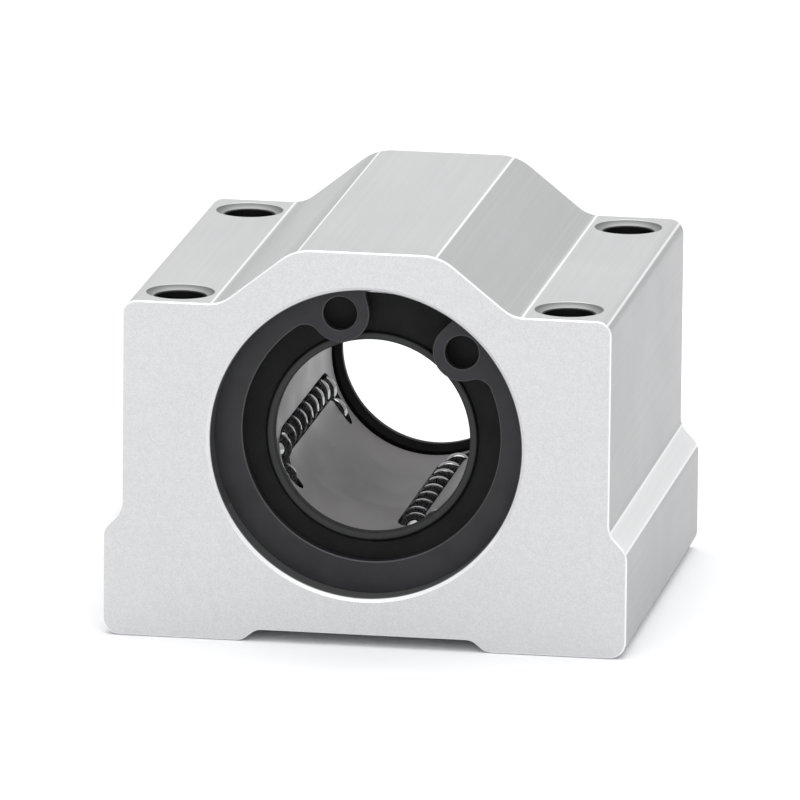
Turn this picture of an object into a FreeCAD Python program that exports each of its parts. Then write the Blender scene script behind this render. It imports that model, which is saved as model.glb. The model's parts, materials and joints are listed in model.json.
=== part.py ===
import FreeCAD, Part
import math
import os
from FreeCAD import Vector

# Linear bearing block for a 20 mm shaft: an extruded aluminium housing around a recirculating ball bushing.
# Millimetres. +X runs across the block, +Y along the shaft and +Z up. The front end is at -Y.
# The origin is on the base, under the middle of the bore.
# The bushing is worked out from the shaft outwards, and the housing from the bushing outwards.

# Shaft and balls
shaft_d = 20.0
shaft_clearance = 0.02          # radial, from the shaft to the crowns of the loaded balls
ball_d = 3.175
ball_gap = 0.08                 # between neighbouring balls in a turn, where they come closest
balls_per_turn = 3
circuit_count = 4
first_circuit_angle = 15.0      # degrees from +X, counterclockwise seen from the front
return_lane_rise = 1.42         # the return lane lies this much further from the shaft than the loaded lane

# Ball cage
cage_shaft_gap = 0.8
cage_sleeve_gap = 0.05
cage_end_gap = 0.05             # to each seal
cage_collar_length = 1.4
cage_end_wall_least = 1.0
cage_bore_chamfer = 0.3
channel_clearance = 0.12        # around a ball in its channel

# Bearing sleeve
bearing_length = 42.0
sleeve_fit = 0.01               # radial, to the housing bore
sleeve_wall = 1.265
raceway_clearance = 0.05        # from a loaded ball to the raceway land
raceway_land_width = 3.3
return_clearance = 0.12         # from a returning ball to the relieved bore
seal_seat_rim = 0.9             # steel left around a seal
sleeve_edge_chamfer = 0.3
outer_groove_depth = 0.5
outer_groove_width = 1.6
outer_groove_span = 30.5        # over the far sides of the two outer grooves

# End seals
seal_depth = 3.0
seal_clearance = 0.05
lip_clearance = 0.05            # radial, from the lip to the shaft
lip_length = 0.75               # straight part of the lip's bore
lip_bead_setback = 0.2          # from the seal's outer edge to the top of the lip's bead
lip_bead_width = 0.85
lip_bead_round = 0.35
lip_bead_root = 0.2
seal_dish_depth = 0.7           # of the outer face, where it meets the bead
seal_web = 1.1                  # thickness of the web that carries the lip
seal_band_width = 2.1           # outer band that seats in the sleeve

# Retaining rings
ring_thickness = 1.2
ring_side_clearance = 0.05
ring_groove_depth = 0.85
ring_groove_clearance = 0.05
ring_width = 4.1                # opposite the gap
ring_eccentricity = 0.6
ring_edge_break = 0.12
ring_gap_angle = 74.5           # degrees from +X, counterclockwise seen from the front
lug_half_angle = 29.2           # from the middle of the gap to each lug
lug_radius = 3.0
lug_setback = 3.45              # from the ring's rim to the middle of a lug's hole
lug_hole_d = 3.5
lug_fillet = 1.6

# Housing
floor_wall = 5.0                # bore to base
roof_wall = 4.0                 # bore to hump top
hump_rise = 6.0                 # shoulder to hump top
hump_slope = 38.5               # degrees
hump_foot_gap = 0.2             # hump foot to the mouth of a mounting hole
flange_height = 11.0
flange_step = 1.9               # the base flange stands out this far on each side
flange_slope_height = 2.0
side_margin = 5.1               # mounting hole axis to the side wall
hole_wall = 0.55                # ring groove to mounting hole
hole_end_margin = 5.0           # mounting hole axis to the end face
end_recess = 4.0                # bearing end to the block's end face
base_recess_width = 22.2
base_recess_depth = 1.2
base_recess_ramp = 1.5
hole_d = 5.2
countersink_width = 0.95        # around the hole, at the shoulder
countersink_depth = 0.55
tap_d = 6.0
tap_depth = 12.0
tap_chamfer = 0.3
edge_chamfer = 0.15
bore_chamfer = 0.4
base_corner_r = 1.8
flange_corner_r = 2.0
flange_root_r = 2.2
shoulder_corner_r = 1.5
hump_root_r = 3.5
hump_corner_r = 5.0
recess_corner_r = 1.6

# Worked out: balls and their loop
shaft_r = shaft_d / 2
ball_r = ball_d / 2
half_step = math.pi / balls_per_turn / 2
turn_r = (ball_d + ball_gap) / (2 * math.sin(half_step))
ball_pitch = turn_r * math.pi / balls_per_turn
loaded_lane_r = shaft_r + shaft_clearance + ball_r
return_lane_r = loaded_lane_r + return_lane_rise
lane_distance = 2 * turn_r
channel_r = ball_r + channel_clearance
inward_tilt = math.asin((loaded_lane_r**2 + lane_distance**2 - return_lane_r**2)
                        / (2 * lane_distance * loaded_lane_r))

# Worked out: cage, sleeve and seals
cage_length = bearing_length - 2 * (seal_depth + cage_end_gap)
lane_room = cage_length - 2 * (cage_end_wall_least + channel_r + turn_r)
balls_per_lane = int(lane_room // ball_pitch)
lane_length = balls_per_lane * ball_pitch
raceway_r = loaded_lane_r + ball_r + raceway_clearance
relief_r = return_lane_r + ball_r + return_clearance
bearing_r = relief_r + sleeve_wall
seal_seat_r = bearing_r - seal_seat_rim
cage_bore_r = shaft_r + cage_shaft_gap
cage_outer_r = raceway_r - cage_sleeve_gap

# Worked out: housing
bearing_end = bearing_length / 2
block_end = bearing_end + end_recess
ring_groove_r = bearing_r + ring_groove_depth
ring_groove_end = bearing_end + ring_thickness + 2 * ring_side_clearance
hole_x = ring_groove_r + hole_wall + hole_d / 2
hole_y = block_end - hole_end_margin
side_x = hole_x + side_margin
flange_x = side_x + flange_step
shaft_height = bearing_r + floor_wall
block_height = shaft_height + bearing_r + roof_wall
shoulder_height = block_height - hump_rise
hole_mouth_r = hole_d / 2 + countersink_width
hump_root_reach = hump_root_r * math.tan(math.radians(hump_slope / 2))
hump_root_x = hole_x - hole_mouth_r - hump_foot_gap - hump_root_reach
hump_corner_x = hump_root_x - hump_rise / math.tan(math.radians(hump_slope))

along_shaft = Vector(0, 1, 0)
bore_centre = Vector(0, 0, shaft_height)


def rounded_wire(corners, spot):
    """Closed wire through (u, v, radius) corners, each rounded by its radius. spot places (u, v)."""
    points = [spot(u, v) for u, v, _ in corners]
    ends = []
    arcs = []
    for i, (_, _, radius) in enumerate(corners):
        to_last = (points[i - 1] - points[i]).normalize()
        to_next = (points[(i + 1) % len(points)] - points[i]).normalize()
        half_angle = to_last.getAngle(to_next) / 2
        reach = radius / math.tan(half_angle)
        start = points[i] + to_last * reach
        end = points[i] + to_next * reach
        middle = points[i] + (to_last + to_next).normalize() * (radius / math.sin(half_angle) - radius)
        ends.append((start, end))
        arcs.append([Part.Arc(start, middle, end).toShape()] if radius else [])
    edges = []
    for i, arc in enumerate(arcs):
        next_start = ends[(i + 1) % len(ends)][0]
        edges += arc + [Part.makeLine(ends[i][1], next_start)]
    return Part.Wire(edges)


def turned(profile):
    """Solid of revolution about the bore axis, from (radius, y) or (radius, y, rounding) corners."""
    corners = [(*corner, 0)[:3] for corner in profile]
    face = Part.Face(rounded_wire(corners, lambda radius, y: bore_centre + Vector(radius, y, 0)))
    return face.revolve(bore_centre, along_shaft, 360)


def tube(outer_r, inner_r, half_length):
    """Plain tube about the bore axis, centred on the block."""
    return turned([
        (outer_r, -half_length),
        (outer_r, half_length),
        (inner_r, half_length),
        (inner_r, -half_length),
    ])


def at_rear(front_piece):
    """The piece's twin for the rear end."""
    return front_piece.mirror(Vector(0, 0, 0), along_shaft)


def direction(degrees):
    """Radial unit vector, with 0 degrees at +X and 90 at +Z."""
    angle = math.radians(degrees)
    return Vector(math.cos(angle), 0, math.sin(angle))


def housing_section():
    """Front end of the extrusion: feet, base flange, shoulders and hump."""
    recess_x = base_recess_width / 2
    right_side = [
        (recess_x, base_recess_depth, recess_corner_r),
        (recess_x + base_recess_ramp, 0, recess_corner_r),
        (flange_x, 0, base_corner_r),
        (flange_x, flange_height, flange_corner_r),
        (side_x, flange_height + flange_slope_height, flange_root_r),
        (side_x, shoulder_height, shoulder_corner_r),
        (hump_root_x, shoulder_height, hump_root_r),
        (hump_corner_x, block_height, hump_corner_r),
    ]
    left_side = [(-x, z, radius) for x, z, radius in reversed(right_side)]
    return Part.Face(rounded_wire(right_side + left_side, lambda x, z: Vector(x, -block_end, z)))


def housing_bore():
    """What is bored out: the bearing seat, a groove for each retaining ring and a chamfer at each mouth."""
    mouth_r = bearing_r + bore_chamfer
    front_half = [
        (mouth_r, -block_end),
        (bearing_r, -block_end + bore_chamfer),
        (bearing_r, -ring_groove_end),
        (ring_groove_r, -ring_groove_end),
        (ring_groove_r, -bearing_end),
        (bearing_r, -bearing_end),
    ]
    rear_half = [(radius, -y) for radius, y in reversed(front_half)]
    return turned([(0, -block_end)] + front_half + rear_half + [(0, block_end)])


def mounting_hole(x, y):
    """A through hole, countersunk on the shoulder and tapped from the base."""
    profile = [
        (0, 0),
        (tap_d / 2 + tap_chamfer, 0),
        (tap_d / 2, tap_chamfer),
        (tap_d / 2, tap_depth),
        (hole_d / 2, tap_depth + (tap_d - hole_d) / 2),
        (hole_d / 2, shoulder_height - countersink_depth),
        (hole_mouth_r, shoulder_height),
        (0, shoulder_height),
    ]
    points = [Vector(x + radius, y, z) for radius, z in profile]
    face = Part.Face(Part.makePolygon(points + points[:1]))
    return face.revolve(Vector(x, y, 0), Vector(0, 0, 1), 360)


def housing():
    """Extruded block with broken end edges, bored and drilled."""
    block = housing_section().extrude(along_shaft * (2 * block_end))
    end_edges = [edge for edge in block.Edges if edge.BoundBox.YLength < edge_chamfer]
    block = block.makeChamfer(edge_chamfer, end_edges)
    holes = [mounting_hole(x, y) for x in (-hole_x, hole_x) for y in (-hole_y, hole_y)]
    return block.cut([housing_bore()] + holes)


def bearing_sleeve():
    """Hardened outer ring: raceway lands in a relieved bore, seal seats at its ends and two outer grooves."""
    outer_r = bearing_r - sleeve_fit
    bevel = sleeve_edge_chamfer
    seat_floor = bearing_end - seal_depth
    groove_r = bearing_r - outer_groove_depth
    groove_far = outer_groove_span / 2
    groove_near = groove_far - outer_groove_width
    front_half = [
        (seal_seat_r, -bearing_end),
        (outer_r - bevel, -bearing_end),
        (outer_r, -bearing_end + bevel),
        (outer_r, -groove_far),
        (groove_r, -groove_far),
        (groove_r, -groove_near),
        (outer_r, -groove_near),
    ]
    outside = front_half + [(radius, -y) for radius, y in reversed(front_half)]
    inside = [
        (seal_seat_r, seat_floor),
        (raceway_r, seat_floor),
        (raceway_r, -seat_floor),
        (seal_seat_r, -seat_floor),
    ]
    return turned(outside + inside).cut(bore_relief(seat_floor))


def bore_relief(half_length):
    """What is ground away beside the raceway lands and past their ends."""
    relief = tube(relief_r, raceway_r - raceway_clearance, half_length)
    corner = Vector(0, -lane_length / 2, -raceway_land_width / 2)
    lands = []
    for i in range(circuit_count):
        land = Part.makeBox(bearing_r, lane_length, raceway_land_width, corner)
        land.rotate(Vector(0, 0, 0), along_shaft, -circuit_angle(i))
        lands.append(land.translated(bore_centre))
    return relief.cut(lands)


def circuit_angle(i):
    """Degrees from +X to the loaded lane of circuit i."""
    return first_circuit_angle + i * 360 / circuit_count


def circuit_lanes(i):
    """Middle of the loaded lane, and the vector across to the return lane."""
    outward = direction(circuit_angle(i))
    sideways = direction(circuit_angle(i) + 90)
    across = sideways * math.cos(inward_tilt) - outward * math.sin(inward_tilt)
    return bore_centre + outward * loaded_lane_r, across * lane_distance


def circuit_channel(i):
    """The racetrack tunnel that the balls of circuit i run in: two lanes joined by two half turns."""
    lane, across = circuit_lanes(i)
    half_lane = along_shaft * (lane_length / 2)
    turn_reach = along_shaft * (lane_length / 2 + turn_r)
    rear = Part.Arc(lane + half_lane, lane + across / 2 + turn_reach, lane + across + half_lane)
    front = Part.Arc(lane + across - half_lane, lane + across / 2 - turn_reach, lane - half_lane)
    path = Part.Wire([
        Part.makeLine(lane - half_lane, lane + half_lane),
        rear.toShape(),
        Part.makeLine(lane + across + half_lane, lane + across - half_lane),
        front.toShape(),
    ])
    section = Part.Wire(Part.makeCircle(channel_r, lane - half_lane, along_shaft))
    return path.makePipeShell([section], True, False)


def ball_cage():
    """Moulded bobbin with a racetrack channel for each circuit, open to the shaft along the loaded lane."""
    half_length = cage_length / 2
    collar_start = half_length - cage_collar_length
    collar_r = relief_r - cage_sleeve_gap
    bevel = cage_bore_chamfer
    body = turned([
        (collar_r, -half_length),
        (collar_r, -collar_start),
        (cage_outer_r, -collar_start),
        (cage_outer_r, collar_start),
        (collar_r, collar_start),
        (collar_r, half_length),
        (cage_bore_r + bevel, half_length),
        (cage_bore_r, half_length - bevel),
        (cage_bore_r, -half_length + bevel),
        (cage_bore_r + bevel, -half_length),
    ])
    return body.cut([circuit_channel(i) for i in range(circuit_count)])


def balls(centres):
    """A train of balls, one separate sphere at each centre."""
    return Part.makeCompound([Part.makeSphere(ball_r, centre) for centre in centres])


def lane_balls(lane):
    """Balls spaced along a straight lane."""
    first = (1 - balls_per_lane) / 2
    return balls([lane + along_shaft * ((first + n) * ball_pitch) for n in range(balls_per_lane)])


def turn_balls(turn_centre, across, end):
    """Balls spaced round a half turn, at the rear where end is 1 and at the front where it is -1."""
    half_across = across / 2
    centres = []
    for n in range(balls_per_turn):
        angle = (2 * n + 1) * half_step
        outward = along_shaft * (end * turn_r * math.sin(angle))
        centres.append(turn_centre - half_across * math.cos(angle) + outward)
    return balls(centres)


def ball_trains():
    """The four straight or turning stretches of each circuit's train, by name."""
    trains = {}
    for i in range(circuit_count):
        lane, across = circuit_lanes(i)
        trains[f"loaded_balls_{i + 1}"] = lane_balls(lane)
        trains[f"return_balls_{i + 1}"] = lane_balls(lane + across)
        for end, word in ((-1, "front"), (1, "rear")):
            turn_centre = lane + across / 2 + along_shaft * (end * lane_length / 2)
            trains[f"{word}_turn_balls_{i + 1}"] = turn_balls(turn_centre, across, end)
    return trains


def front_seal():
    """Rubber end seal: an outer band in the sleeve's seat, a dished face and a beaded lip."""
    outer = -bearing_end
    inner = outer + seal_depth
    rim_r = seal_seat_r - seal_clearance
    band_r = rim_r - seal_band_width
    lip_r = shaft_r + lip_clearance
    bead_r = lip_r + lip_bead_width
    bead_top = outer + lip_bead_setback
    lip_end = bead_top + lip_bead_round + lip_length
    dish = outer + seal_dish_depth
    web_back = dish + seal_web
    return turned([
        (rim_r, outer),
        (rim_r, inner),
        (band_r, inner),
        (band_r, web_back),
        (bead_r, web_back),
        (lip_r, lip_end),
        (lip_r, bead_top, lip_bead_round),
        (bead_r, bead_top, lip_bead_round),
        (bead_r, dish, lip_bead_root),
    ])


def front_retaining_ring():
    """Internal snap ring: an eccentric band with a lug and a plier hole at each side of its gap."""
    rim_r = ring_groove_r - ring_groove_clearance
    inner_r = rim_r - ring_width + ring_eccentricity
    near_face = bore_centre - along_shaft * (ring_groove_end - ring_side_clearance)
    thickness = along_shaft * ring_thickness

    def disc(radius, centre):
        return Part.makeCylinder(radius, ring_thickness, centre, along_shaft)

    rim = disc(rim_r, near_face)
    band = rim.cut(disc(inner_r, near_face + direction(ring_gap_angle) * ring_eccentricity))
    lug_angles = [ring_gap_angle - lug_half_angle, ring_gap_angle + lug_half_angle]
    reach = rim_r / math.cos(math.radians(lug_half_angle))
    corners = [near_face] + [near_face + direction(angle) * reach for angle in lug_angles]
    gap = Part.Face(Part.makePolygon(corners + corners[:1])).extrude(thickness)
    lugs = []
    holes = []
    for angle in lug_angles:
        middle = near_face + direction(angle) * (rim_r - lug_setback)
        sideways = direction(angle + 90) * lug_radius
        outward = direction(angle) * lug_setback
        inner_side = [middle - sideways, middle + sideways]
        sides = inner_side + [corner + outward for corner in reversed(inner_side)]
        lugs.append(Part.Face(Part.makePolygon(sides + sides[:1])).extrude(thickness))
        lugs.append(disc(lug_radius, middle))
        holes.append(disc(lug_hole_d / 2, middle))
    ring = band.cut(gap).fuse(lugs).common(rim).removeSplitter()
    ring = ring.makeFillet(lug_fillet, lug_roots(ring, rim_r)).cut(holes)
    flat_edges = [edge for edge in ring.Edges if edge.BoundBox.YLength < ring_thickness / 2]
    return ring.makeChamfer(ring_edge_break, flat_edges)


def lug_roots(ring, rim_r):
    """The two inside corners where the lugs grow out of the ring's band."""
    upright = [edge for edge in ring.Edges if edge.BoundBox.YLength > ring_thickness / 2]
    root_reach = rim_r - lug_setback + lug_radius / 2
    return [edge for edge in upright if edge.CenterOfMass.distanceToLine(bore_centre, along_shaft) < root_reach]


def pieces():
    """Every separate piece of the block, by name."""
    made = {
        "housing": housing(),
        "bearing_sleeve": bearing_sleeve(),
        "ball_cage": ball_cage(),
        "front_seal": front_seal(),
        "front_retaining_ring": front_retaining_ring(),
    }
    made["rear_seal"] = at_rear(made["front_seal"])
    made["rear_retaining_ring"] = at_rear(made["front_retaining_ring"])
    made.update(ball_trains())
    return made


def main():
    os.makedirs("parts", exist_ok=True)
    for name, shape in pieces().items():
        shape.exportStep(f"parts/{name}.step")


if __name__ == "__main__":
    main()
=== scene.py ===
import bmesh
import bpy
import json
import math
from mathutils import Matrix, Vector


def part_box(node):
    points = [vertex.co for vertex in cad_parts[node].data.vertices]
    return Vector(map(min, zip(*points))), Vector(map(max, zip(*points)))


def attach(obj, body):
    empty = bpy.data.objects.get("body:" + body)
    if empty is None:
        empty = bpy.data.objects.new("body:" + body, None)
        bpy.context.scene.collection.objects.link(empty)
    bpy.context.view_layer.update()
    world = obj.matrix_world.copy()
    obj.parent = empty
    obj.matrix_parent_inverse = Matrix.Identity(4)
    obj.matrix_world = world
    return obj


# Looks of a linear bearing block: blasted aluminium, black seals, phosphated snap rings, polished balls.
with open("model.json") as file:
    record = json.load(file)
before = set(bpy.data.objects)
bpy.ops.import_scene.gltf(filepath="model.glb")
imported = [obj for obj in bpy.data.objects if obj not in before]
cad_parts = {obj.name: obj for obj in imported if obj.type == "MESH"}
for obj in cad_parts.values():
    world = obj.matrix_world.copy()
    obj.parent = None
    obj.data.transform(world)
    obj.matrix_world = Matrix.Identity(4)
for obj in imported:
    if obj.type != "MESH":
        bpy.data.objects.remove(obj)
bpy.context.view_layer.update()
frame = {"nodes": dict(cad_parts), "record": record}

# Places and sizes from the frame, in metres
MM = 0.001
mounts = {mount["name"]: mount for mount in frame["record"]["mounts"]}
slots = {entry["node"]: entry["material_slot"] for entry in frame["record"]["subparts"]}
bore_axis = Vector(mounts["shaft_bore"]["pos_m"])
sleeve_low, sleeve_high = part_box("bearing_sleeve")
bore_radius = (sleeve_high.x - sleeve_low.x) / 2
lip_radius = mounts["shaft_bore"]["dims"]["r_mm"] * MM
countersink_foot = mounts["shoulder_bolts"]["pos_m"][2]

# Mounting holes: through holes, countersunk on the shoulders and tapped from the base
tap_dims = mounts["base_bolts"]["dims"]
hole_place = Vector((tap_dims["spacing_x_mm"] / 2, tap_dims["spacing_y_mm"] / 2, 0.0)) * MM
hole_radius = mounts["shoulder_bolts"]["dims"]["hole_r_mm"] * MM
tap_radius = tap_dims["hole_r_mm"] * MM
THREAD_PITCH = 1.0 * MM
THREAD_DEPTH = 0.4 * MM
THREAD_LENGTH = 11.3 * MM
THREAD_START = 0.35 * MM
THREAD_CREST = 0.06 * MM
THREAD_FOOT = THREAD_PITCH * 0.45
THREAD_SINK = 0.02 * MM
THREAD_FADE_TURNS = 0.5
THREAD_STEPS = 40

# Places on the housing's section, as (x, z)
HUMP_CORNER = Vector((7.1 * MM, 40.81 * MM))
HUMP_FOOT = Vector((15.95 * MM, 35.01 * MM))
SHOULDER_CORNER = Vector((24.66 * MM, 34.56 * MM))
FLANGE_ROOT = Vector((25.26 * MM, 13.06 * MM))
FLANGE_CORNER = Vector((26.86 * MM, 10.94 * MM))
# Corners of the section along which painted highlight lines run
HIGHLIGHT_CORNERS = (HUMP_CORNER, HUMP_FOOT, SHOULDER_CORNER, FLANGE_ROOT, FLANGE_CORNER)
STEP_TOP = 14.0 * MM

# Widths of the housing's painted highlight lines and countersinks, and how far the painted shade of the walls
# reaches past the walls, as (none, full)
LINE_WIDTH = 0.19 * MM
LINE_CORE = LINE_WIDTH / 3
COUNTERSINK = 0.95 * MM
COUNTERSINK_BLUR = COUNTERSINK / 10
BORE_WALL_REACH = (0.12 * MM, 0.04 * MM)
HOLE_WALL_REACH = (0.2 * MM, 0.1 * MM)

# Parts of a face's normal between which it starts to count and fully counts as one kind of face
SIDE_FACING = (0.7, 0.85)
END_FACING = (0.86, 0.95)
STEP_FACING = (0.32, 0.42)
LEVEL_FACING = (0.77, 1.0)
BASE_FACING = (-0.9, -0.95)
BEVEL_FROM_WALL = (0.3, 0.5)
BEVEL_FROM_END = (0.92, 0.84)

# Red, green and blue of the greys, and the greys of the housing, from black at 0 to white at 1
COOL_CAST = (0.99, 1.0, 1.005)
TOP_TONE = 0.54
# Painted shade and light: the sides and slopes are greyed darker and the step lighter than the tops, by which
# way they face
SIDE_SHADE_TONE = 0.41
SLOPE_SHADE_TONE = 0.49
SLOPE_LEVEL_SHADE_TONE = 0.43
STEP_LIGHT_TONE = 0.74
END_TONES = (0.525, 0.6)
# Painted highlight along the bevels and the corners of the section
PAINTED_HIGHLIGHT_TONE = 0.85
# Painted shade: the bore's wall is dark, the holes nearly black, and the countersinks darker towards their
# outer rim
BORE_SHADE_TONE = 0.1
COUNTERSINK_SHADE_TONES = (0.13, 0.34)
HOLE_SHADE_TONE = 0.006
STREAK_CONTRAST = 0.02

# Colours and greys of the other finishes, darker patches first
GROUND_STEEL = ((0.5, 0.5, 0.51), (0.6, 0.6, 0.61))
CAGE_RESIN = ((0.2, 0.187, 0.198), (0.25, 0.236, 0.248))
SEAL_RUBBER = ((0.004, 0.004, 0.0042), (0.007, 0.007, 0.0074))
PHOSPHATE = ((0.02, 0.0195, 0.0235), (0.032, 0.0315, 0.0365))
# Painted highlight on the retaining rings' bevels
PHOSPHATE_EDGE_HIGHLIGHT = (0.08, 0.08, 0.086)
CUT_ALUMINIUM = ((0.6, 0.6, 0.61), (0.7, 0.7, 0.71))
LIP_TONE = 0.034
BALL_TONES = (0.32, 0.4)
FLOOR_TONES = (0.93, 0.94)

# Width of the seals' lip that shows from the end, and of its part that is fully grey
LIP_WIDTH = 0.8 * MM
LIP_CORE = LIP_WIDTH * 0.8

# Grain, patches and streaks
COARSE_SCALE = 0.31
COARSE_SHARE = 0.2
EVEN_SHARE = 0.5
GRAIN_RANGE = (0.32, 0.68)
PATCH_RANGE = (0.3, 0.7)
STREAK_STRETCH = (1.0, 0.01, 1.0)

# Camera, fitted to the photograph's corners
CAMERA_AZIMUTH = math.radians(9.4)
CAMERA_ELEVATION = math.radians(13.01)
CAMERA_ROLL = math.radians(0.57)
CAMERA_DISTANCE = 1.4465
CAMERA_LENS = 631.5
CAMERA_SENSOR = 36.0
CAMERA_NEAR = 0.01
AIM_HEIGHT = 20.5 * MM
AIM_RIGHT = -0.58 * MM
AIM_UP = -0.39 * MM

# Light and floor
WHITE = (1.0, 1.0, 1.0, 1.0)
SURROUND = 0.67
BACKDROP = 1.0
OVERHEAD = 1.9
OVERHEAD_PLACE = Vector((0.0, 0.15, 1.0))
OVERHEAD_SPREAD = math.radians(70)
FRONT_PANEL = 7.5
FRONT_PANEL_PLACE = Vector((0.0, -1.1, 0.6))
FRONT_PANEL_SIZE = 1.6
FLOOR_HALF_SIZE = 60.0
FLOOR_GAP = 0.05 * MM
FLOOR_PATCH = 0.4

# Places of the colour sockets on a Mix node, whose names they share with its other sockets
MIX_FIRST_COLOUR = 6
MIX_SECOND_COLOUR = 7
MIX_COLOUR = 2


def add(tree, kind, inputs=None, **settings):
    """A shader node with its settings, and its inputs set to values or linked to sockets."""
    made = tree.nodes.new("ShaderNode" + kind)
    for name, value in settings.items():
        setattr(made, name, value)
    for key, value in (inputs or {}).items():
        if isinstance(value, bpy.types.NodeSocket):
            tree.links.new(value, made.inputs[key])
        else:
            made.inputs[key].default_value = value
    return made


def calc(tree, operation, *values):
    """One step of arithmetic on values or sockets."""
    return add(tree, "Math", dict(enumerate(values)), operation=operation).outputs[0]


def vector_calc(tree, operation, *vectors):
    """One step of arithmetic on vectors or sockets."""
    return add(tree, "VectorMath", dict(enumerate(vectors)), operation=operation).outputs[0]


def length(tree, vector):
    """Length of a vector socket."""
    return add(tree, "VectorMath", {0: vector}, operation="LENGTH").outputs["Value"]


def parts_of(tree, vector):
    """X, Y and Z of a vector socket."""
    return add(tree, "SeparateXYZ", {"Vector": vector}).outputs


def vector_from(tree, **parts):
    """A vector socket from some of its X, Y and Z."""
    return add(tree, "CombineXYZ", parts).outputs[0]


def noise(tree, vector, scale, **inputs):
    """Smooth noise of a given scale."""
    return add(tree, "TexNoise", {"Vector": vector, "Scale": scale, **inputs}).outputs["Fac"]


def fade(tree, value, start, end):
    """0 at start, 1 at end and a smooth step between."""
    limits = {"Value": value, "From Min": start, "From Max": end}
    return add(tree, "MapRange", limits, interpolation_type="SMOOTHSTEP").outputs["Result"]


def both(tree, first, second):
    """Where two masks overlap."""
    return calc(tree, "MULTIPLY", first, second)


def blend_value(tree, share, start, end):
    """Value that goes from start to end as share goes from 0 to 1."""
    return add(tree, "Mix", {"Factor": share, "A": start, "B": end}).outputs[0]


def blend_colour(tree, share, first, second):
    """Colour that goes from first to second as share goes from 0 to 1."""
    mix = add(tree, "Mix", {"Factor": share}, data_type="RGBA")
    for index, colour in ((MIX_FIRST_COLOUR, first), (MIX_SECOND_COLOUR, second)):
        if isinstance(colour, bpy.types.NodeSocket):
            tree.links.new(colour, mix.inputs[index])
        else:
            mix.inputs[index].default_value = (*colour, 1.0)
    return mix.outputs[MIX_COLOUR]


def grey(level):
    """Neutral colour of a given brightness, a touch cooler than white."""
    return tuple(level * part for part in COOL_CAST)


def blend_grey(tree, share, tones):
    """Grey that goes from one tone to another as share goes from 0 to 1."""
    first, second = tones
    return blend_colour(tree, share, grey(first), grey(second))


def new_group(name, inputs, outputs):
    """An empty shader node group with its sockets, and its input and output nodes."""
    tree = bpy.data.node_groups.new(name, "ShaderNodeTree")
    for socket, kind in inputs.items():
        tree.interface.new_socket(socket, in_out="INPUT", socket_type="NodeSocket" + kind)
    for socket, kind in outputs.items():
        tree.interface.new_socket(socket, in_out="OUTPUT", socket_type="NodeSocket" + kind)
    return tree, tree.nodes.new("NodeGroupInput").outputs, tree.nodes.new("NodeGroupOutput").inputs


def place(tree, group, inputs):
    """A group placed in a material with its own values."""
    return add(tree, "Group", inputs, node_tree=group).outputs


def blasted_grain():
    """Fine pits and flecks of a blasted, phosphated or moulded skin."""
    tree, given, result = new_group("blasted_grain", {"Position": "Vector", "Size": "Float"},
                                    {"Tone": "Float", "Height": "Float"})
    scale = calc(tree, "DIVIDE", 1.0, given["Size"])
    coarse_scale = calc(tree, "MULTIPLY", scale, COARSE_SCALE)
    fine = noise(tree, given["Position"], scale, Detail=2.0, Roughness=0.6)
    coarse = noise(tree, given["Position"], coarse_scale, Detail=1.0)
    tone = blend_value(tree, COARSE_SHARE, fine, coarse)
    tree.links.new(fade(tree, tone, *GRAIN_RANGE), result["Tone"])
    tree.links.new(fine, result["Height"])
    return tree


def handling_marks():
    """Broad soft patches where a surface is a little duller or brighter."""
    tree, given, result = new_group("handling_marks", {"Position": "Vector", "Size": "Float"},
                                    {"Tone": "Float"})
    scale = calc(tree, "DIVIDE", 1.0, given["Size"])
    patches = noise(tree, given["Position"], scale, Detail=3.0, Distortion=0.6)
    tree.links.new(fade(tree, patches, *PATCH_RANGE), result["Tone"])
    return tree


def round_the_bore():
    """Distance from the bore axis and distance along it."""
    tree, given, result = new_group("round_the_bore", {"Position": "Vector"},
                                    {"Radius": "Float", "Along": "Float"})
    x, y, z = parts_of(tree, vector_calc(tree, "SUBTRACT", given["Position"], bore_axis))
    tree.links.new(length(tree, vector_from(tree, X=x, Z=z)), result["Radius"])
    tree.links.new(y, result["Along"])
    return tree


def lathe_marks():
    """Fine random rings left by a turning tool or a mould turned on a lathe."""
    tree, given, result = new_group("lathe_marks", {"Distance": "Float", "Pitch": "Float"},
                                    {"Height": "Float"})
    turns = calc(tree, "DIVIDE", given["Distance"], given["Pitch"])
    rings = add(tree, "TexNoise", {"W": turns, "Scale": 1.0, "Detail": 2.0}, noise_dimensions="1D")
    tree.links.new(rings.outputs["Fac"], result["Height"])
    return tree


def drawn_streaks():
    """Long faint streaks along the shaft, as an extrusion die leaves them."""
    tree, given, result = new_group("drawn_streaks", {"Position": "Vector", "Width": "Float"},
                                    {"Tone": "Float"})
    across = vector_calc(tree, "MULTIPLY", given["Position"], STREAK_STRETCH)
    scale = calc(tree, "DIVIDE", 1.0, given["Width"])
    streaks = noise(tree, across, scale, Detail=2.0)
    tree.links.new(fade(tree, streaks, *PATCH_RANGE), result["Tone"])
    return tree


def broken_edges():
    """Mask of the narrow bevels between an end face and the walls that run along the shaft, where a painted
    highlight goes.
    """
    tree, given, result = new_group("broken_edges", {"Facing": "Vector"}, {"Mask": "Float"})
    endways = calc(tree, "ABSOLUTE", parts_of(tree, given["Facing"])["Y"])
    mask = both(tree, fade(tree, endways, *BEVEL_FROM_WALL), fade(tree, endways, *BEVEL_FROM_END))
    tree.links.new(mask, result["Mask"])
    return tree


GRAIN = blasted_grain()
MARKS = handling_marks()
BORE = round_the_bore()
LATHE = lathe_marks()
STREAKS = drawn_streaks()
EDGES = broken_edges()


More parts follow.
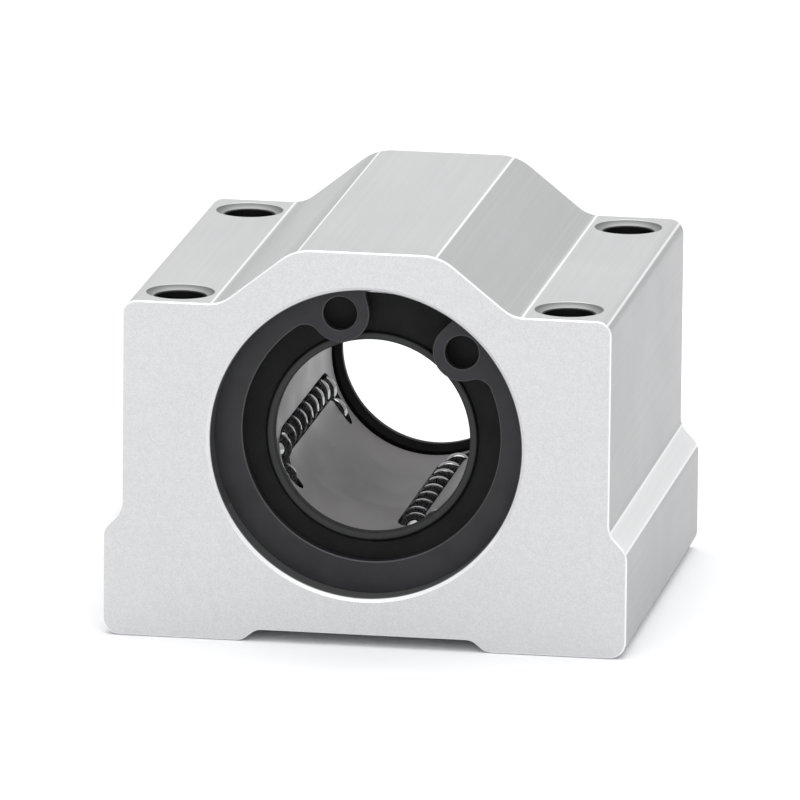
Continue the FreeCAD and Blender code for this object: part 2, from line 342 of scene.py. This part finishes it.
def new_finish(name, **constants):
    """A material with one Principled shader, whose unchanging values are set on its own sockets."""
    material = bpy.data.materials.new(name)
    material.use_nodes = True
    tree = material.node_tree
    shader = tree.nodes["Principled BSDF"]
    for socket, value in constants.items():
        shader.inputs[socket.replace("_", " ")].default_value = value
    position = add(tree, "TexCoord").outputs["Object"]
    return material, tree, shader, position


def wire(tree, shader, **sockets):
    """Links sockets to the shader's inputs."""
    for name, socket in sockets.items():
        tree.links.new(socket, shader.inputs[name.replace("_", " ")])


def bump(tree, height, strength, depth, under=None):
    """Bump of a given depth, over another one if there is one."""
    made = add(tree, "Bump", {"Height": height, "Strength": strength, "Distance": depth})
    if under is not None:
        tree.links.new(under, made.inputs["Normal"])
    return made.outputs["Normal"]


def face_normal(tree):
    """Which way the surface faces."""
    return add(tree, "NewGeometry").outputs["True Normal"]


def highlight_line_along(tree, position, spot):
    """Mask of a thin painted highlight line that runs along the block at (x, z), alike on both sides."""
    x, _, z = parts_of(tree, position)
    aside = calc(tree, "SUBTRACT", calc(tree, "ABSOLUTE", x), spot.x)
    above = calc(tree, "SUBTRACT", z, spot.y)
    return fade(tree, length(tree, vector_from(tree, X=aside, Z=above)), LINE_WIDTH, LINE_CORE)


def painted_highlight_mask(tree, position, normal):
    """Mask of the housing's painted highlight lines: bevels round its ends and corners along it."""
    lines = place(tree, EDGES, {"Facing": normal})["Mask"]
    for spot in HIGHLIGHT_CORNERS:
        lines = calc(tree, "MAXIMUM", lines, highlight_line_along(tree, position, spot))
    return lines


def face_masks(tree, position, normal):
    """Masks of the housing's outer faces, from where they are and which way they face."""
    x, _, z = parts_of(tree, position)
    facing = parts_of(tree, normal)
    from_middle = calc(tree, "ABSOLUTE", x)
    beside_hump = fade(tree, from_middle, HUMP_CORNER.x, HUMP_CORNER.x + LINE_WIDTH / 2)
    over_shoulder = fade(tree, z, HUMP_FOOT.y, HUMP_FOOT.y + LINE_WIDTH / 2)
    leaning_up = fade(tree, facing["Z"], *STEP_FACING)
    under_step_top = fade(tree, z, STEP_TOP, STEP_TOP - LINE_WIDTH)
    return {
        "side": fade(tree, calc(tree, "ABSOLUTE", facing["X"]), *SIDE_FACING),
        "slope": both(tree, beside_hump, over_shoulder),
        "level": fade(tree, facing["Z"], *LEVEL_FACING),
        "step": both(tree, leaning_up, under_step_top),
        "end": fade(tree, calc(tree, "ABSOLUTE", facing["Y"]), *END_FACING),
        "base": fade(tree, facing["Z"], *BASE_FACING),
    }


def hole_distance(tree, position):
    """Distance from the axis of the nearest mounting hole."""
    from_hole = vector_calc(tree, "SUBTRACT", vector_calc(tree, "ABSOLUTE", position), hole_place)
    x, y, _ = parts_of(tree, from_hole)
    return length(tree, vector_from(tree, X=x, Y=y))


def wall_mask(tree, distance, radius, reach):
    """Mask of a round wall, which reaches a little past its radius."""
    none, full = reach
    return fade(tree, distance, radius + none, radius + full)


def hole_masks(tree, position):
    """Masks of the bore's wall, and of the mounting holes and their countersinks, which get painted shade."""
    from_hole = hole_distance(tree, position)
    from_axis = place(tree, BORE, {"Position": position})["Radius"]
    mouth_radius = hole_radius + COUNTERSINK
    in_mouth = fade(tree, from_hole, mouth_radius, mouth_radius - COUNTERSINK_BLUR)
    height = parts_of(tree, position)["Z"]
    over_foot = fade(tree, height, countersink_foot - LINE_WIDTH, countersink_foot)
    return {
        "bore wall": wall_mask(tree, from_axis, bore_radius, BORE_WALL_REACH),
        "countersink": both(tree, in_mouth, over_foot),
        "down countersink": fade(tree, from_hole, mouth_radius, hole_radius),
        "drilled": wall_mask(tree, from_hole, hole_radius, HOLE_WALL_REACH),
    }


def drawn_coat(tree, streaks, tone):
    """Grey of a drawn face, with faint streaks along the block."""
    tones = (tone * (1 - STREAK_CONTRAST), tone * (1 + STREAK_CONTRAST))
    return blend_grey(tree, streaks["Tone"], tones)


def housing_colour(tree, position, normal, faces, grain):
    """Colour of the housing: one coat over another, from its outer faces in to its holes, with painted shade
    and light by which way each face faces, painted highlight lines and painted shade in the bore and holes.
    """
    holes = hole_masks(tree, position)
    streaks = place(tree, STREAKS, {"Position": position, "Width": 0.5 * MM})
    slope_shade = drawn_coat(tree, streaks, SLOPE_SHADE_TONE)
    coats = (
        (faces["side"], drawn_coat(tree, streaks, SIDE_SHADE_TONE)),
        (faces["slope"], blend_colour(tree, faces["level"], slope_shade, grey(SLOPE_LEVEL_SHADE_TONE))),
        (faces["step"], drawn_coat(tree, streaks, STEP_LIGHT_TONE)),
        (faces["end"], blend_grey(tree, grain["Tone"], END_TONES)),
        (painted_highlight_mask(tree, position, normal), grey(PAINTED_HIGHLIGHT_TONE)),
        (holes["bore wall"], grey(BORE_SHADE_TONE)),
        (holes["countersink"], blend_grey(tree, holes["down countersink"], COUNTERSINK_SHADE_TONES)),
        (holes["drilled"], grey(HOLE_SHADE_TONE)),
    )
    colour = drawn_coat(tree, streaks, TOP_TONE)
    for mask, coat in coats:
        colour = blend_colour(tree, mask, colour, coat)
    return colour


def aluminium_housing():
    """Clear-anodised extrusion: drawn sides, blasted ends and milled feet, with painted shade and light by
    which way faces face, painted highlights along the edges and painted shade darkening the bore and holes.
    """
    material, tree, shader, position = new_finish("blasted_aluminium", IOR=1.45)
    normal = face_normal(tree)
    faces = face_masks(tree, position, normal)
    grain = place(tree, GRAIN, {"Position": position, "Size": 0.16 * MM})
    marks = place(tree, MARKS, {"Position": position, "Size": 14 * MM})
    along = place(tree, BORE, {"Position": position})["Along"]
    cutter = place(tree, LATHE, {"Distance": along, "Pitch": 0.25 * MM})
    pits = both(tree, grain["Height"], faces["end"])
    cuts = both(tree, cutter["Height"], faces["base"])
    relief = calc(tree, "ADD", pits, cuts)
    wire(tree, shader,
         Base_Color=housing_colour(tree, position, normal, faces, grain),
         Roughness=blend_value(tree, marks["Tone"], start=0.44, end=0.5),
         Metallic=blend_value(tree, faces["step"], start=0.5, end=0.2),
         Normal=bump(tree, relief, strength=0.25, depth=0.04 * MM))
    return material


def ground_steel():
    """Hardened, ground bearing steel."""
    material, tree, shader, position = new_finish("ground_bearing_steel", Metallic=1.0)
    along = place(tree, BORE, {"Position": position})["Along"]
    rings = place(tree, LATHE, {"Distance": along, "Pitch": 0.12 * MM})
    marks = place(tree, MARKS, {"Position": position, "Size": 8 * MM})
    wire(tree, shader,
         Base_Color=blend_colour(tree, marks["Tone"], *GROUND_STEEL),
         Roughness=blend_value(tree, rings["Height"], start=0.2, end=0.34),
         Normal=bump(tree, rings["Height"], strength=0.2, depth=0.01 * MM))
    return material


def satin_cage():
    """Grey satin resin of the ball cage."""
    material, tree, shader, position = new_finish("satin_grey_cage", Metallic=0.25)
    along = place(tree, BORE, {"Position": position})["Along"]
    rings = place(tree, LATHE, {"Distance": along, "Pitch": 0.3 * MM})
    marks = place(tree, MARKS, {"Position": position, "Size": 6 * MM})
    wire(tree, shader,
         Base_Color=blend_colour(tree, marks["Tone"], *CAGE_RESIN),
         Roughness=blend_value(tree, marks["Tone"], start=0.3, end=0.4),
         Normal=bump(tree, rings["Height"], strength=0.15, depth=0.02 * MM))
    return material


def black_rubber():
    """Black moulded rubber of the end seals, a little greyer on the lip that wipes the shaft."""
    material, tree, shader, position = new_finish("black_seal_rubber", Specular_IOR_Level=0.12)
    radius = place(tree, BORE, {"Position": position})["Radius"]
    rings = place(tree, LATHE, {"Distance": radius, "Pitch": 0.25 * MM})
    grain = place(tree, GRAIN, {"Position": position, "Size": 0.2 * MM})
    marks = place(tree, MARKS, {"Position": position, "Size": 5 * MM})
    skin = blend_colour(tree, marks["Tone"], *SEAL_RUBBER)
    lip = fade(tree, radius, lip_radius + LIP_WIDTH, lip_radius + LIP_CORE)
    under = bump(tree, rings["Height"], strength=0.25, depth=0.02 * MM)
    wire(tree, shader,
         Base_Color=blend_colour(tree, lip, skin, grey(LIP_TONE)),
         Roughness=blend_value(tree, grain["Tone"], start=0.5, end=0.62),
         Normal=bump(tree, grain["Height"], strength=0.15, depth=0.02 * MM, under=under))
    return material


def phosphated_ring():
    """Dark phosphated spring steel of the retaining rings, with a painted highlight along its bevelled edges.
    """
    material, tree, shader, position = new_finish("phosphated_spring_steel", Metallic=0.3,
                                                  Specular_IOR_Level=0.3)
    grain = place(tree, GRAIN, {"Position": position, "Size": 0.12 * MM})
    marks = place(tree, MARKS, {"Position": position, "Size": 4 * MM})
    tone = blend_value(tree, EVEN_SHARE, grain["Tone"], marks["Tone"])
    skin = blend_colour(tree, tone, *PHOSPHATE)
    edges = place(tree, EDGES, {"Facing": face_normal(tree)})
    wire(tree, shader,
         Base_Color=blend_colour(tree, edges["Mask"], skin, PHOSPHATE_EDGE_HIGHLIGHT),
         Roughness=blend_value(tree, grain["Tone"], start=0.45, end=0.6),
         Normal=bump(tree, grain["Height"], strength=0.2, depth=0.02 * MM))
    return material


def polished_balls():
    """Polished bearing steel of the balls."""
    material, tree, shader, position = new_finish("polished_bearing_balls", Metallic=1.0)
    marks = place(tree, MARKS, {"Position": position, "Size": 4 * MM})
    wire(tree, shader,
         Base_Color=blend_grey(tree, marks["Tone"], BALL_TONES),
         Roughness=blend_value(tree, marks["Tone"], start=0.02, end=0.04))
    return material


def cut_thread():
    """Bright, freshly cut thread in the aluminium."""
    material, tree, shader, position = new_finish("cut_thread", Metallic=0.9)
    marks = place(tree, MARKS, {"Position": position, "Size": 1 * MM})
    wire(tree, shader,
         Base_Color=blend_colour(tree, marks["Tone"], *CUT_ALUMINIUM),
         Roughness=blend_value(tree, marks["Tone"], start=0.25, end=0.35))
    return material


def pale_board():
    """Matt, nearly white board of the floor."""
    material, tree, shader, position = new_finish("pale_floor", Roughness=0.9, Specular_IOR_Level=0.1)
    marks = place(tree, MARKS, {"Position": position, "Size": FLOOR_PATCH})
    wire(tree, shader, Base_Color=blend_grey(tree, marks["Tone"], FLOOR_TONES))
    return material


FINISHES = {
    "housing_aluminium": aluminium_housing(),
    "sleeve_steel": ground_steel(),
    "cage_resin": satin_cage(),
    "seal_rubber": black_rubber(),
    "ring_steel": phosphated_ring(),
    "ball_steel": polished_balls(),
}


def finish_cad_nodes():
    """Gives each piece of the frame the finish of its material slot."""
    for name, piece in frame["nodes"].items():
        piece.data.materials.clear()
        piece.data.materials.append(FINISHES[slots[name]])


def add_object(name, data):
    """An object with its data, linked to the scene."""
    made = bpy.data.objects.new(name, data)
    bpy.context.scene.collection.objects.link(made)
    return made


def mesh_from(shape, name, material):
    """A mesh with one material from a finished bmesh, which is freed."""
    mesh = bpy.data.meshes.new(name)
    shape.to_mesh(mesh)
    shape.free()
    mesh.materials.append(material)
    return mesh


def thread_section(crest):
    """(radius, height) corners across one thread ridge, with its foot sunk into the hole's wall."""
    foot = tap_radius + THREAD_SINK
    top = tap_radius - crest
    return [(foot, -THREAD_FOOT), (top, -THREAD_CREST), (top, THREAD_CREST), (foot, THREAD_FOOT)]


def thread_rings(x, y):
    """Corners of each section along one thread's helix, which fades out at both ends."""
    steps = int(THREAD_LENGTH / THREAD_PITCH * THREAD_STEPS)
    rise = THREAD_LENGTH - THREAD_PITCH
    for i in range(steps + 1):
        angle = i / THREAD_STEPS * math.tau
        height = THREAD_START + THREAD_PITCH / 2 + i / steps * rise
        turns_from_end = min(i, steps - i) / THREAD_STEPS
        crest = THREAD_DEPTH * min(1.0, turns_from_end / THREAD_FADE_TURNS)
        yield [(x + radius * math.cos(angle), y + radius * math.sin(angle), height + up)
               for radius, up in thread_section(crest)]


def skin_over(rings):
    """Closed bmesh through a run of rings of points."""
    shape = bmesh.new()
    rows = [[shape.verts.new(point) for point in ring] for ring in rings]
    for lower, upper in zip(rows, rows[1:]):
        for k in range(len(lower)):
            after = (k + 1) % len(lower)
            shape.faces.new((lower[k], upper[k], upper[after], lower[after]))
    shape.faces.new(rows[0])
    shape.faces.new(reversed(rows[-1]))
    bmesh.ops.recalc_face_normals(shape, faces=shape.faces)
    return shape


def add_threads():
    """A cut thread in each of the four tapped holes."""
    material = cut_thread()
    places = [(x, y) for x in (-hole_place.x, hole_place.x) for y in (-hole_place.y, hole_place.y)]
    for number, (x, y) in enumerate(places, start=1):
        name = f"cut_thread_{number}"
        piece = add_object(name, mesh_from(skin_over(thread_rings(x, y)), name, material))
        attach(piece, "block")


def pale_floor():
    """Wide pale floor, a hair under the block's feet."""
    shape = bmesh.new()
    bmesh.ops.create_grid(shape, x_segments=1, y_segments=1, size=FLOOR_HALF_SIZE)
    floor = add_object("floor", mesh_from(shape, "floor", pale_board()))
    floor.location.z = -FLOOR_GAP


def add_light(name, kind, location, power, **settings):
    """A light that looks at the middle of the block."""
    lamp = bpy.data.lights.new(name, kind)
    lamp.energy = power
    for setting, value in settings.items():
        setattr(lamp, setting, value)
    light = add_object(name, lamp)
    light.location = location
    light.rotation_euler = (bore_axis - location).to_track_quat("-Z", "Y").to_euler()


def studio_light():
    """White surroundings, an even overhead light and a large panel in front."""
    world = bpy.data.worlds.new("studio")
    world.use_nodes = True
    tree = world.node_tree
    backdrop = tree.nodes["Background"]
    backdrop.inputs["Color"].default_value = WHITE
    seen = add(tree, "LightPath").outputs["Is Camera Ray"]
    tree.links.new(blend_value(tree, seen, SURROUND, BACKDROP), backdrop.inputs["Strength"])
    bpy.context.scene.world = world
    add_light("overhead", "SUN", OVERHEAD_PLACE, OVERHEAD, angle=OVERHEAD_SPREAD)
    add_light("front_panel", "AREA", FRONT_PANEL_PLACE, FRONT_PANEL, size=FRONT_PANEL_SIZE)


def photo_camera():
    """Camera at the photograph's angle, distance and framing."""
    forward = Vector((-math.sin(CAMERA_AZIMUTH) * math.cos(CAMERA_ELEVATION),
                      math.cos(CAMERA_AZIMUTH) * math.cos(CAMERA_ELEVATION),
                      -math.sin(CAMERA_ELEVATION)))
    level_right = Vector((math.cos(CAMERA_AZIMUTH), math.sin(CAMERA_AZIMUTH), 0.0))
    level_up = level_right.cross(forward)
    right = level_right * math.cos(CAMERA_ROLL) + level_up * math.sin(CAMERA_ROLL)
    up = level_up * math.cos(CAMERA_ROLL) - level_right * math.sin(CAMERA_ROLL)
    aim = Vector((0.0, 0.0, AIM_HEIGHT)) + right * AIM_RIGHT + up * AIM_UP
    lens = bpy.data.cameras.new("photo_camera")
    lens.lens = CAMERA_LENS
    lens.sensor_width = CAMERA_SENSOR
    lens.clip_start = CAMERA_NEAR
    camera = add_object("photo_camera", lens)
    turn = Matrix((right, up, -forward)).transposed().to_4x4()
    camera.matrix_world = Matrix.Translation(aim - forward * CAMERA_DISTANCE) @ turn
    bpy.context.scene.camera = camera


bpy.context.scene.view_settings.view_transform = "Standard"
finish_cad_nodes()
add_threads()
pale_floor()
studio_light()
photo_camera()
